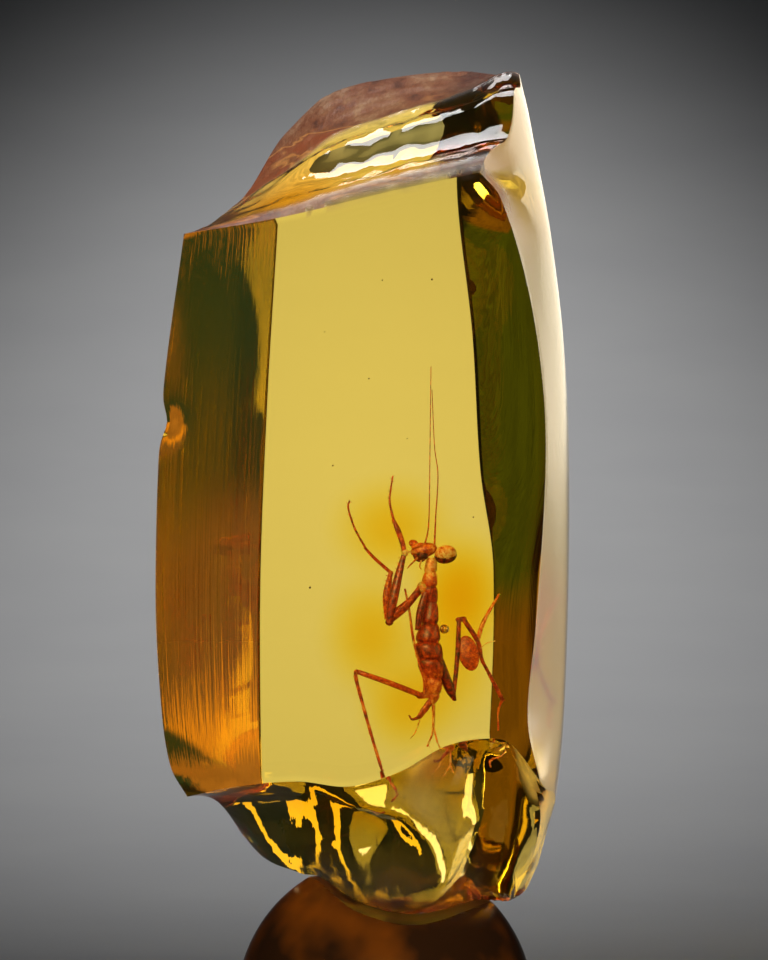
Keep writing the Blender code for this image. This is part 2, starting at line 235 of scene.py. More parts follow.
# %% [markdown]
# ## The broken ends
#
# Amber breaks like glass, in shell-shaped hollows. The top has a narrow lip, two flutes, a ledge and a
# long weathered slope behind it. The underside falls to a keel through three hollows, a crest and a
# groove, and a small chip is out of the left edge. All this could be sculpted by hand, but a short list of
# depths and shares of the rise gives the same steps and can be read and changed.

# %% Forms of the broken ends
# the crest of the ledge, halfway to the back, from left to right
CREST_AT = 0.5
CREST_TOP = [(-8.6, 41.28), (-6.4, 42.9), (-4.1, 44.65), (-1.7, 46.35), (1.5, 47.45), (5.0, 48.55),
             (7.3, 49.5), (8.5, 48.6)]
# (share of the way from the front to the crest, share of the rise), where it is stepped and where plain
STEPPED_TOP = [(0.0, 0.0), (0.04, 0.12), (0.12, 0.22), (0.22, 0.27), (0.34, 0.33), (0.46, 0.5), (0.56, 0.74),
               (0.62, 0.81), (0.68, 0.83), (0.78, 0.845), (0.88, 0.9), (0.95, 0.985), (1.0, 1.0)]
PLAIN_TOP = [(0.0, 0.0), (0.08, 0.2), (0.4, 0.5), (0.7, 0.8), (1.0, 1.0)]
# X where the steps begin, and where they are whole
STEPS_START = -6.0
STEPS_FULL = -1.5
# (X, share of depth, radius, share of depth, how deep) of each hollow of the underside
UNDER_HOLLOWS = [(-4.4, 0.3, 2.3, 0.22, 0.6), (6.6, 0.2, 2.1, 0.2, 1.1), (0.9, 0.42, 1.7, 0.18, 0.75)]
# (X, share of depth) along a crest and a groove between the hollows, with the height and half width
UNDER_CRESTS = [([(-1.4, 0.0), (0.4, 0.09), (2.1, 0.2), (3.4, 0.36), (3.9, 0.5)], 0.5, 0.85),
                ([(7.0, 0.0), (7.3, 0.14), (6.5, 0.3), (5.6, 0.44), (4.8, 0.6)], -0.75, 0.6)]
CHIP_AT = 32.2
CHIP_DEPTH = 0.3
CHIP_HALF_HEIGHT = 0.75
CHIP_REACH = 0.14
# the block's place settles in a few rounds, because the sides depend on the height and the ends on X
LOWEST, HIGHEST = 8.0, 49.9
SETTLING_ROUNDS = 6


def distance_to(path, x, deep):
    """How far a point of the underside is from a crest, in millimetres."""
    nearest = math.inf
    for (x0, deep0), (x1, deep1) in zip(path, path[1:]):
        along_x, along_y = x1 - x0, (deep1 - deep0) * DEPTH
        t = ((x - x0) * along_x + (deep - deep0) * DEPTH * along_y) / (along_x ** 2 + along_y ** 2)
        t = min(max(t, 0.0), 1.0)
        nearest = min(nearest, math.hypot(x - x0 - along_x * t, (deep - deep0) * DEPTH - along_y * t))
    return nearest


def top_break(across, deep):
    """The top's height: up the steps to the crest, and then the slope behind it."""
    crest = curve_through(CREST_TOP, across)
    if deep > CREST_AT:
        t = (deep - CREST_AT) / (1 - CREST_AT)
        return mix(crest, curve_through(BACK_TOP, across), 0.4 * t + 0.6 * ramp(t, 0.0, 1.0))
    t = deep / CREST_AT
    stepped = ramp(across, STEPS_START, STEPS_FULL)
    share = mix(curve_through(PLAIN_TOP, t), curve_through(STEPPED_TOP, t), stepped)
    return mix(curve_through(FRONT_TOP, across), crest, share)


def under_break(across, deep):
    """The underside's height: down to the keel, and a little up again behind it."""
    keel_at = mix(KEEL_AT, KEEL_AT_RIGHT, ramp(across, 5.0, 7.6))
    if deep < keel_at:
        t = deep / keel_at
        share = 0.75 * t + 0.25 * t * t * (3 - 2 * t)
    else:
        share = 1 - 0.35 * ((deep - keel_at) / (1 - keel_at)) ** 2
    height = mix(curve_through(FRONT_BOTTOM, across), curve_through(KEEL, across), share)
    inside = math.sin(min(deep / keel_at, 1.0) * math.pi)
    for middle, depth_at, radius, depth_radius, hollow in UNDER_HOLLOWS:
        height += inside * hollow * swell(across - middle, radius) * swell(deep - depth_at, depth_radius)
    for path, crest, width in UNDER_CRESTS:
        height -= ramp(inside, 0.0, 0.5) * crest * swell(distance_to(path, across, deep), width)
    return height


def edge_chip(deep, height):
    """A small chip out of the left front edge."""
    return CHIP_DEPTH * swell(height - CHIP_AT, CHIP_HALF_HEIGHT) * swell(deep, CHIP_REACH)


def block_place(share):
    """Turn a point of the unit cube into its place on the block: X and height settle together."""
    across, deep, up = share
    height = mix(LOWEST, HIGHEST, up)
    for _ in range(SETTLING_ROUNDS):
        x = mix(left_side(deep, height) + edge_chip(deep, height), right_side(deep, height), across)
        height = mix(under_break(x, deep), top_break(x, deep), up)
    return Vector((x, DEPTH * (deep - 0.5), height)) * MM


# %% [markdown]
# ## The clear block
#
# The block starts as a cube, which `bisect_plane` slices along each axis: the solid stays closed and the
# flat face stays flat, which a subdivision surface wouldn't keep. Every vertex then moves to its place.
# The broken ends get a fine grain along their normals, coarser on the crumbly lip of the keel, and the
# sharp edges a narrow bevel, because a polished edge catches light as a thin line.

# %% The clear block's mesh
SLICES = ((64, 50, 84))
EDGE_BEVEL = 0.12
SHARP_ANGLE = 38.0
# how far the grain stands out, in millimetres
GRAIN_TOP = 0.07
GRAIN_UNDER = 0.02
GRAIN_KEEL = 0.16


def on_keel_lip(x, deep):
    """How much a point of the underside is on the crumbly lip along the keel."""
    return swell(deep - KEEL_AT, 0.14) * ramp(x, -3.5, -2.0) * (1 - ramp(x, 4.5, 6.5))


def sliced_cube():
    bm = bmesh.new()
    bmesh.ops.create_cube(bm, size=1.0)
    bmesh.ops.translate(bm, verts=bm.verts, vec=(0.5, 0.5, 0.5))
    for axis, slices in enumerate(SLICES):
        normal = Vector((0, 0, 0))
        normal[axis] = 1.0
        for i in range(1, slices):
            everything = bm.verts[:] + bm.edges[:] + bm.faces[:]
            bmesh.ops.bisect_plane(bm, geom=everything, dist=1e-7, plane_co=normal * (i / slices), plane_no=normal)
    return bm


def block_mesh():
    bm = sliced_cube()
    bm.verts.ensure_lookup_table()
    ends = [(v, v.co.z > 0.5) for v in bm.verts
            if not 0.001 < v.co.z < 0.999 and 0.01 < v.co.y < 0.99 and 0.01 < v.co.x < 0.99]
    for vert in bm.verts:
        vert.co = block_place(vert.co)
    bm.normal_update()
    for vert, top in ends:
        at = vert.co / MM
        grain = noise.fractal(Vector((at.x * 0.9, at.y * 1.6, at.z * 0.9)), 0.9, 2.1, 4)
        under_grain = mix(GRAIN_UNDER, GRAIN_KEEL, on_keel_lip(at.x, at.y / DEPTH + 0.5))
        vert.co += vert.normal * grain * MM * (GRAIN_TOP if top else under_grain)
    bm.normal_update()
    corners = [e for e in bm.edges if e.calc_face_angle(0.0) > math.radians(SHARP_ANGLE)]
    bmesh.ops.bevel(bm, geom=corners, offset=EDGE_BEVEL * MM, offset_type="OFFSET", segments=2, profile=0.5,
                    affect="EDGES", material=-1, clamp_overlap=True)
    bmesh.ops.recalc_face_normals(bm, faces=bm.faces)
    return bm


# %% [markdown]
# ## Clear amber
#
# Amber is fossil resin: a refractive index of about 1.54, and a colour that is all absorption, blue first and then
# green, so a thin stretch is lemon yellow and a long one is orange, brown and in the end black. That is why the
# material has a clear surface and plain volume absorption instead of a painted colour. Parts of its skin differ:
# the weathered crust, the satin right side, a painted orange glow on the thin front lip and down the right edge,
# polishing lines and the ridges of the break. Each is an attribute on the mesh, from 0 to 1, so one material
# covers the closed solid.

# %% Clear amber
AMBER_INDEX = 1.54
AMBER_ABSORPTION = 160.0
MARKS = ("crust", "satin", "painted_glow", "drawn", "hackle")

AMBER, AMBER_SHADER = new_material("clear_fossil_resin", {
    "IOR": AMBER_INDEX, "Transmission Weight": 1.0, "Roughness": 0.0, "Base Color": linear("#ffffff")})
absorption = add_node(AMBER, "VolumeAbsorption", inputs={
    "Color": linear("#f8e71d"), "Density": AMBER_ABSORPTION})
link(AMBER, absorption, AMBER.node_tree.nodes["Material Output"].inputs["Volume"])
MARK = {name: add_node(AMBER, "Attribute", {"attribute_name": name}).outputs["Fac"] for name in MARKS}
PLACE = add_node(AMBER, "TexCoord").outputs["Object"]

# %% [markdown]
# ## The crust's colour
#
# Old resin oxidises from outside, which leaves a dull pinkish brown crust. It is blotched over 1 to 2 mm and
# redder towards the left, and on the left thin bright orange streaks are painted through it, a painted glow for
# light that comes through the crust. A painted map could hold that, but noise in millimetres needs no picture and
# keeps its grain at any distance.

# %% The crust's colour


def crust_color():
    stretched = add_node(AMBER, "Mapping", inputs={"Scale": (1.0, 0.35, 0.5)}, links={"Vector": PLACE})
    blotches = add_node(AMBER, "TexNoise", inputs={"Scale": 700.0, "Detail": 7.0, "Roughness": 0.7},
                        links={"Vector": stretched})
    tone = set_stops(add_node(AMBER, "ValToRGB", links={"Fac": blotches}),
                     (0.34, "#541c10"), (0.44, "#8c3c26"), (0.54, "#a8604a"), (0.66, "#d49c88"))
    sideways = add_node(AMBER, "SeparateXYZ", links={0: PLACE}).outputs["X"]
    leftness = add_node(AMBER, "MapRange", {"interpolation_type": "SMOOTHSTEP"}, inputs={
        "From Min": 0.0065, "From Max": -0.002}, links={"Value": sideways})
    slanted = add_node(AMBER, "Mapping", inputs={
        "Rotation": (0.0, math.radians(-38), 0.0), "Scale": (0.3, 0.3, 1.3)}, links={"Vector": PLACE})
    streaks = add_node(AMBER, "TexNoise", inputs={"Scale": 420.0, "Detail": 3.0, "Distortion": 0.4},
                       links={"Vector": slanted})
    # painted glow: thin bright orange streaks on the left of the crust that stand for light coming through it
    painted_glow_streaks = set_stops(add_node(AMBER, "ValToRGB", links={"Fac": streaks}),
                      (0.47, "#000000"), (0.5, "#ffffff"), (0.53, "#000000"))
    redness = add_node(AMBER, "MapRange", inputs={"From Min": 0.42, "From Max": 0.62}, links={"Value": streaks})
    for share, color in ((redness, "#b0401c"), (painted_glow_streaks, "#ffa05c")):
        here = add_node(AMBER, "Math", {"operation": "MULTIPLY", "use_clamp": True}, links={0: share, 1: leftness})
        tone = add_node(AMBER, "Mix", {"data_type": "RGBA"}, inputs={7: linear(color)},
                        links={0: here, 6: tone}).outputs[2]
    return tone


# painted glow: an orange tint on the front lip and the right edge that stands for warm light shining out through
# the thin resin there
painted_glow_tone = add_node(AMBER, "Mix", {"data_type": "RGBA"}, links={0: MARK["painted_glow"]}, inputs={
    6: linear("#ffffff"), 7: linear("#ffae20")})
skin_tone = add_node(AMBER, "Mix", {"data_type": "RGBA"},
                     links={0: MARK["crust"], 6: painted_glow_tone.outputs[2], 7: crust_color()})
link(AMBER, skin_tone.outputs[2], AMBER_SHADER.inputs["Base Color"])

# %% Roughness and clearness


def weathering(on_crust, on_satin):
    """A value that reaches on_crust on the crust and on_satin on the satin side, and is 0 elsewhere."""
    satin_part = add_node(AMBER, "Math", {"operation": "MULTIPLY"}, inputs={1: on_satin}, links={0: MARK["satin"]})
    return add_node(AMBER, "Math", {"operation": "MULTIPLY_ADD"}, inputs={1: on_crust},
                    links={0: MARK["crust"], 2: satin_part})


link(AMBER, weathering(0.45, 0.22), AMBER_SHADER.inputs["Roughness"])
clear = add_node(AMBER, "Math", {"operation": "SUBTRACT", "use_clamp": True}, inputs={0: 1.0},
                 links={1: weathering(0.5, 0.25)})
link(AMBER, clear, AMBER_SHADER.inputs["Transmission Weight"])

# %% [markdown]
# ## Fine relief
#
# Three kinds of marks are too fine for the mesh: the grit of the crust, the upright lines that polishing
# left on the left side, and the ridges that run down the broken underside. Each is a stretched noise on
# a bump node of its own, as strong as its attribute says, and the bumps follow each other.

# %% Fine relief
# attribute: (noise scale, detail, roughness, turn in degrees, stretch, height in metres); the grit is
# about 0.3 mm, the lines about 0.3 mm apart and the ridges about 0.6 mm apart
RELIEF = {
    "crust": (3500.0, 5.0, 0.65, 0.0, (1.0, 0.35, 0.5), 0.00009),
    "drawn": (3000.0, 3.0, 0.5, 0.0, (1.0, 1.0, 0.03), 0.000006),
    "hackle": (1500.0, 3.0, 0.45, -14.0, (1.0, 0.12, 0.35), 0.000018),
}
normal = None
for name, (scale, detail, roughness, turn, stretch, rise) in RELIEF.items():
    laid = add_node(AMBER, "Mapping", inputs={"Rotation": (0.0, 0.0, math.radians(turn)), "Scale": stretch},
                    links={"Vector": PLACE})
    relief = add_node(AMBER, "TexNoise", inputs={"Scale": scale, "Detail": detail, "Roughness": roughness},
                      links={"Vector": laid})
    bump = add_node(AMBER, "Bump", inputs={"Distance": rise}, links={"Height": relief, "Strength": MARK[name]})
    if normal:
        link(AMBER, normal, bump.inputs["Normal"])
    normal = bump
link(AMBER, normal, AMBER_SHADER.inputs["Normal"])
print("relief:", ", ".join(RELIEF))

# %% [markdown]
# ## Where the skin differs
#
# The marks follow the form: the crust lies on the slope behind the steps and on the lips, the satin is on
# the front of the right side, and the lines are on the left. So each vertex gets them from its place and
# from the way it faces, which no painting by hand would keep in step with the outlines above. One clear
# piece replaces only the two halves.

# %% Where the skin differs
TOP_ABOVE = 40.0
UNDER_BELOW = 18.0
KEEL_CRUST = 0.5


def marks_at(at, facing):
    """The marks of a point, in the order of MARKS, from its place in millimetres and its normal."""
    x, y, z = at
    deep = y / DEPTH + 0.5
    top = ramp(facing.z, 0.2, 0.45) if z > TOP_ABOVE else 0.0
    under = ramp(-facing.z, 0.1, 0.3) if z < UNDER_BELOW else 0.0
    thin_crust = 0.3 * (1 - ramp(x, STEPS_START, -3.0))
    weathered = mix(thin_crust, 1.0, ramp(deep - 0.06 * ramp(x, -4.0, 0.0), 0.39, 0.45))
    front_lip = 0.9 * swell(deep - 0.015, 0.035)
    crust = max(top * min(1.0, weathered + front_lip), under * on_keel_lip(x, deep) * KEEL_CRUST)
    satin = ramp(facing.x, 0.3, 0.6) * (1 - top) * (1 - ramp(deep, 0.33, 0.45))
    # a painted orange glow: a wide and a small patch on the front lip, and one down the right edge
    glow = swell(x + 3.8, 3.2) * swell(deep - 0.12, 0.2) + 0.7 * swell(x - 1.8, 0.8) * swell(deep - 0.08, 0.06)
    painted_edge_glow = 0.5 * ramp(z, 39.0, 44.0) * ramp(facing.x, 0.3, 0.6)
    painted_glow = max(top * min(1.0, glow), painted_edge_glow * (1 - top))
    return crust, satin, painted_glow, ramp(-facing.x, 0.5, 0.8), under


def mark_surface(piece):
    mesh = piece.data
    rows = [marks_at(vert.co / MM, vert.normal) for vert in mesh.vertices]
    for name, values in zip(MARKS, zip(*rows)):
        mesh.attributes.new(name, "FLOAT", "POINT").data.foreach_set("value", values)


block = new_piece("amber_block", block_mesh(), AMBER, smooth_below=20.0)
mark_surface(block)
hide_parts("amber_front", "amber_back")

# %% [markdown]
# ## The insect
#
# A young mantis, 9 mm long, hangs in the front half of the stone. It has a pale neck, a bent and ringed
# trunk, two folded forelegs with rows of spines, two jointed legs, a triangular head with one large eye
# towards the viewer, and two hair-fine antennae. Metaballs or a sculpt could give soft joints, but limbs of
# an insect are hard tubes in a row, so each is one ring of vertices that is extruded from joint to joint.
# The stretches overlap at the joints as closed shells in one mesh, as they do in a jointed figure.

# %% Stretches of the insect
PARTING_Y = -1.0
TRUNK_TINT, TRUNK_RINGS = 0.34, 9
# (X, depth behind the parting, height, radius) at each joint
TRUNK = [(3.3, 0.0, 25.6, 0.26), (3.24, 0.0, 24.9, 0.34), (3.2, 0.0, 24.2, 0.4), (3.28, 0.0, 23.4, 0.34),
         (3.2, 0.0, 22.4, 0.47), (3.12, 0.0, 21.5, 0.66), (3.22, 0.0, 20.6, 0.68), (3.36, 0.0, 19.7, 0.5),
         (3.4, 0.0, 18.95, 0.34), (3.36, 0.0, 18.5, 0.15)]
# name: (tint, rings, joints): tint 0 is maroon and 1 is pale gold, rings is how many segments it shows
LIMBS = {
    "near_coxa": (0.42, 0, [(2.9, -0.1, 24.3, 0.2), (2.05, -0.45, 23.25, 0.21), (1.25, -0.68, 22.55, 0.19)]),
    "near_femur": (0.3, 0, [(1.22, -0.68, 22.42, 0.16), (1.45, -0.68, 23.7, 0.24), (1.72, -0.64, 24.9, 0.19),
        (1.96, -0.6, 25.8, 0.12)]),
    "near_tibia": (0.45, 0, [(1.98, -0.6, 25.7, 0.1), (1.9, -0.58, 26.25, 0.13), (1.66, -0.54, 26.95, 0.14),
        (1.45, -0.5, 27.45, 0.09)]),
    "near_foot": (0.4, 5, [(1.47, -0.5, 27.35, 0.07), (1.26, -0.46, 28.3, 0.055), (1.3, -0.4, 28.9, 0.05),
        (1.41, -0.3, 29.6, 0.045)]),
    "far_coxa": (0.5, 0, [(2.95, 0.15, 24.2, 0.19), (2.1, 0.4, 23.4, 0.17), (1.15, 0.52, 22.75, 0.15)]),
    "far_femur": (0.5, 0, [(1.14, 0.52, 22.6, 0.14), (1.12, 0.55, 23.8, 0.2), (1.32, 0.58, 24.95, 0.1)]),
    "far_tibia": (0.45, 0, [(1.34, 0.58, 24.85, 0.1), (0.51, 0.6, 25.59, 0.09), (0.06, 0.62, 26.08, 0.075)]),
    "far_foot": (0.35, 5, [(0.1, 0.62, 26.04, 0.06), (-0.44, 0.64, 27.02, 0.055), (-0.76, 0.66, 28.0, 0.05),
        (-0.7, 0.68, 28.4, 0.045)]),
    "left_hip": (0.6, 0, [(3.3, -0.1, 19.0, 0.22), (2.7, -0.2, 18.88, 0.15)]),
    "left_femur": (0.5, 0, [(2.8, -0.18, 18.9, 0.14), (1.4, -0.5, 19.46, 0.14), (-0.27, -0.82, 20.06, 0.12)]),
    "left_tibia": (0.5, 6, [(-0.36, -0.82, 20.12, 0.11), (-0.38, -0.8, 19.73, 0.1), (-0.05, -0.74, 18.48, 0.09),
        (0.31, -0.66, 17.17, 0.085), (0.9, -0.55, 15.2, 0.075)]),
    "left_foot": (0.4, 2, [(0.92, -0.55, 15.28, 0.07), (0.69, -0.5, 14.98, 0.05)]),
    "right_thigh": (0.18, 0, [(3.55, 0.1, 21.0, 0.2), (3.92, 0.2, 19.9, 0.27), (4.2, 0.28, 19.15, 0.24),
        (4.42, 0.32, 18.66, 0.1)]),
    "right_femur": (0.25, 0, [(4.36, 0.32, 18.8, 0.1), (4.55, 0.4, 20.7, 0.12), (4.64, 0.45, 22.66, 0.11)]),
    "right_knee": (0.4, 0, [(4.58, 0.45, 22.58, 0.12), (4.9, 0.48, 22.62, 0.12)]),
    "right_tibia": (0.35, 0, [(4.82, 0.48, 22.68, 0.12), (5.55, 0.58, 21.52, 0.12), (5.74, 0.62, 20.68, 0.1),
        (6.03, 0.68, 20.09, 0.09), (6.78, 0.75, 18.64, 0.11)]),
    "right_foot": (0.5, 3, [(6.8, 0.75, 18.74, 0.08), (6.56, 0.75, 18.13, 0.06), (6.56, 0.75, 17.17, 0.05)]),
    "far_limb": (0.75, 0, [(5.52, 0.6, 21.5, 0.11), (5.85, 0.8, 22.5, 0.11), (6.6, 1.1, 23.83, 0.06)]),
    "tail": (0.5, 3, [(3.35, 0.0, 18.75, 0.19), (2.95, -0.05, 18.2, 0.19), (2.7, -0.08, 17.84, 0.14)]),
    "tail_hook": (0.3, 0, [(2.74, -0.08, 17.86, 0.1), (2.36, -0.1, 17.74, 0.06), (2.2, -0.1, 17.93, 0.04)]),
    "fork_left": (0.8, 0, [(3.39, 0.0, 18.7, 0.1), (3.37, 0.05, 17.24, 0.06), (3.09, 0.05, 16.41, 0.045)]),
    "fork_right": (0.8, 0, [(3.38, 0.05, 17.4, 0.05), (3.59, 0.1, 16.57, 0.045)]),
    "left_antenna": (0.45, 0, [(2.95, -0.1, 26.2, 0.05), (3.13, -0.12, 26.99, 0.035),
        (3.19, -0.14, 28.2, 0.026), (3.22, -0.16, 30.85, 0.022), (3.27, -0.18, 34.93, 0.018)]),
    "right_antenna": (0.45, 0, [(3.44, 0.05, 26.2, 0.05), (3.5, 0.07, 27.61, 0.035), (3.61, 0.1, 29.62, 0.026),
        (3.44, 0.12, 31.09, 0.022), (3.32, 0.14, 33.8, 0.018)]),
    "margin": (0.6, 0, [(2.0, -0.2, 24.1, 0.05), (2.21, -0.3, 23.04, 0.06), (2.4, -0.34, 21.7, 0.07),
        (2.65, -0.34, 20.68, 0.07), (2.94, -0.26, 19.65, 0.08), (2.94, -0.2, 18.95, 0.08)]),
    "mid_coxa": (0.25, 0, [(3.0, -0.3, 23.9, 0.17), (2.75, -0.36, 23.0, 0.19), (2.62, -0.34, 22.1, 0.14)]),
    "palp_left": (0.85, 3, [(2.45, -0.3, 25.9, 0.07), (2.05, -0.36, 25.85, 0.05), (1.85, -0.34, 25.45, 0.03)]),
    "palp_right": (0.8, 3, [(2.6, -0.34, 25.6, 0.06), (2.3, -0.4, 25.3, 0.045), (2.12, -0.38, 25.1, 0.028)]),
    "palp_low": (0.75, 2, [(2.8, -0.34, 25.5, 0.05), (2.72, -0.4, 25.2, 0.035), (2.8, -0.4, 25.05, 0.025)]),
    "thin_leg": (0.9, 0, [(2.72, 0.2, 17.7, 0.035), (2.5, 0.2, 17.1, 0.03), (2.27, 0.2, 16.8, 0.02)]),
    "thread": (0.95, 0, [(5.7, 0.3, 21.2, 0.025), (6.0, 0.3, 21.45, 0.025), (6.4, 0.3, 21.55, 0.02)]),
}
# name: (tint, centre, half sizes, tilt about the depth axis in degrees)
ROUNDED = {
    "face": (0.62, (2.92, 0.0, 25.98), (0.66, 0.42, 0.36), -12),
    "brow": (0.75, (2.62, -0.22, 26.2), (0.34, 0.2, 0.13), -14),
    "jaw": (0.08, (2.85, -0.28, 25.72), (0.3, 0.18, 0.2), 12),
    "mouth": (0.2, (2.72, -0.1, 25.7), (0.34, 0.28, 0.3), 30),
    "near_eye": (0.85, (3.98, -0.1, 25.8), (0.54, 0.42, 0.43), -8),
    # painted shade: a dark ball just below and behind the near eye darkens its lower side, where shade falls
    "painted_eye_shade": (0.12, (3.98, -0.06, 25.7), (0.55, 0.42, 0.38), -8),
    "far_eye": (0.55, (2.42, 0.12, 26.3), (0.24, 0.26, 0.19), 20),
    "wrist": (1.0, (2.0, -0.62, 25.85), (0.17, 0.14, 0.2), 20),
    "elbow": (0.3, (1.24, -0.68, 22.48), (0.2, 0.18, 0.17), 0),
    "shoulder": (0.85, (2.85, -0.1, 24.15), (0.28, 0.3, 0.32), 10),
    "wing_pad": (0.5, (5.1, 0.5, 20.95), (0.5, 0.12, 0.88), -14),
    "left_knee": (0.55, (-0.36, -0.82, 20.05), (0.14, 0.12, 0.14), 0),
}
# limb: (how many spines, their length, the way that they point)
SPINES = {
    "near_femur": (9, 0.26, (-1.0, -0.2, 0.45)),
    "far_femur": (8, 0.24, (-1.0, 0.2, 0.3)),
    "near_tibia": (7, 0.2, (-1.0, -0.1, 0.35)),
}
SPINE_RADIUS = 0.035
SPINE_TINT = 0.7
TIP_RADIUS = 0.008

# %% Making the insect
LIMB_SIDES = 14
STEPS_PER_JOINT = 10
BALL_SEGMENTS = 20
LOOK_AHEAD = 0.02


def along(joints, at):
    """The place and radius at a share of a limb's way, smooth through its joints."""
    at *= len(joints) - 1
    x, depth, z, radius = [curve_through(list(enumerate(joint)), at) for joint in zip(*joints)]
    return Vector((x, depth + PARTING_Y, z)) * MM, radius * MM


def heading(joints, at):
    """Which way a limb runs at a share of its way."""
    return along(joints, min(at + LOOK_AHEAD, 1.0))[0] - along(joints, max(at - LOOK_AHEAD, 0.0))[0]


def ring_groove(at, rings):
    """Narrower where two segments of a limb meet."""
    if not rings:
        return 1.0
    to_joint = abs((at * rings) % 1.0 - 0.5) * 2
    return 0.8 + 0.2 * (1 - to_joint ** 4)


def paint(verts, tint_layer, tint):
    for vert in verts:
        vert[tint_layer] = tint


def add_limb(bm, tint_layer, joints, tint, rings, tint_at):
    """One ring of vertices, extruded and turned from place to place."""
    steps = (len(joints) - 1) * STEPS_PER_JOINT
    ring = bmesh.ops.create_circle(bm, cap_ends=True, segments=LIMB_SIDES, radius=1.0)["verts"]
    edges = list({edge for vert in ring for edge in vert.link_edges})
    pose = Matrix.Identity(4)
    for i in range(steps + 1):
        at = i / steps
        here, radius = along(joints, at)
        radius *= ring_groove(at, rings)
        turn = heading(joints, at).to_track_quat("Z", "Y").to_matrix().to_4x4()
        new_pose = Matrix.Translation(here) @ turn @ Matrix.Diagonal((radius, radius, radius, 1.0))
        if i > 0:
            grown = bmesh.ops.extrude_edge_only(bm, edges=edges)["geom"]
            ring = [item for item in grown if isinstance(item, bmesh.types.BMVert)]
            edges = [item for item in grown if isinstance(item, bmesh.types.BMEdge)]
        bmesh.ops.transform(bm, matrix=new_pose @ pose.inverted(), verts=ring)
        pose = new_pose
        paint(ring, tint_layer, tint_at(at, tint))
    bmesh.ops.holes_fill(bm, edges=edges, sides=LIMB_SIDES)


def add_ball(bm, tint_layer, centre, half_sizes, tilt, tint):
    x, depth, z = centre
    made = bmesh.ops.create_uvsphere(bm, u_segments=BALL_SEGMENTS, v_segments=BALL_SEGMENTS // 2,
                                     radius=1.0)["verts"]
    bmesh.ops.scale(bm, verts=made, vec=Vector(half_sizes) * MM)
    bmesh.ops.rotate(bm, verts=made, cent=(0, 0, 0), matrix=Matrix.Rotation(math.radians(tilt), 3, "Y"))
    bmesh.ops.translate(bm, verts=made, vec=Vector((x, depth + PARTING_Y, z)) * MM)
    paint(made, tint_layer, tint)


def add_spine(bm, tint_layer, root, direction, length, radius, tint):
    """A thin cone that stands on its root and points along the direction."""
    made = bmesh.ops.create_cone(bm, cap_ends=True, segments=6, radius1=radius * MM, radius2=TIP_RADIUS * MM,
                                 depth=length * MM)["verts"]
    bmesh.ops.translate(bm, verts=made, vec=(0, 0, length * MM / 2))
    turn = Vector(direction).to_track_quat("Z", "Y").to_matrix()
    bmesh.ops.rotate(bm, verts=made, cent=(0, 0, 0), matrix=turn)
    bmesh.ops.translate(bm, verts=made, vec=root)
    paint(made, tint_layer, tint)


def plain_tint(at, tint):
    return tint


def trunk_tint(at, tint):
    """The neck is pale and the trunk maroon, with orange at its lower end."""
    pale_neck = 1 - ramp(at, 0.1, 0.26)
    orange_end = ramp(at, 0.68, 0.85) * 0.35
    return mix(tint, 0.9, pale_neck) + orange_end


def banded_tint(at, tint):
    return tint + 0.2 * math.sin(at * math.tau * 6)


def mantis_mesh():
    bm = bmesh.new()
    tint_layer = bm.verts.layers.float.new("tint")
    add_limb(bm, tint_layer, TRUNK, TRUNK_TINT, TRUNK_RINGS, trunk_tint)
    for name, (tint, rings, joints) in LIMBS.items():
        add_limb(bm, tint_layer, joints, tint, rings, banded_tint if name == "left_tibia" else plain_tint)
    for tint, centre, half_sizes, tilt in ROUNDED.values():
        add_ball(bm, tint_layer, centre, half_sizes, tilt, tint)
    for limb, (count, length, direction) in SPINES.items():
        for i in range(count):
            root = along(LIMBS[limb][2], (i + 1) / (count + 1))[0]
            add_spine(bm, tint_layer, root, direction, length, SPINE_RADIUS, SPINE_TINT)
    add_hairs(bm, tint_layer)
    bmesh.ops.recalc_face_normals(bm, faces=bm.faces)
    return bm


# %% [markdown]
# ## Hairs
#
# Fine bristles stand on the shins and feet. Particle hair would be strands without a mesh, which the
# exported model can't hold, so each bristle is a thin cone, set round the limb by the golden angle.

# %% Hairs
HAIRY_LIMBS = {"near_foot": 16, "far_foot": 12, "near_tibia": 10, "left_tibia": 22, "right_tibia": 16,
               "left_femur": 12, "tail": 10, "far_femur": 10, "fork_left": 8}
HAIR_LENGTH = 0.17
HAIR_RADIUS = 0.012
HAIR_TINT = 0.6
HAIR_LEAN = 0.8
GOLDEN_ANGLE = 2.39996


def add_hairs(bm, tint_layer):
    for limb, count in HAIRY_LIMBS.items():
        joints = LIMBS[limb][2]
        for i in range(count):
            at = (i + 0.5) / count
            root = along(joints, at)[0]
            ahead = heading(joints, at).normalized()
            side = ahead.orthogonal().normalized()
            side.rotate(Matrix.Rotation(GOLDEN_ANGLE * i, 3, ahead))
            add_spine(bm, tint_layer, root, side + ahead * HAIR_LEAN, HAIR_LENGTH, HAIR_RADIUS, HAIR_TINT)
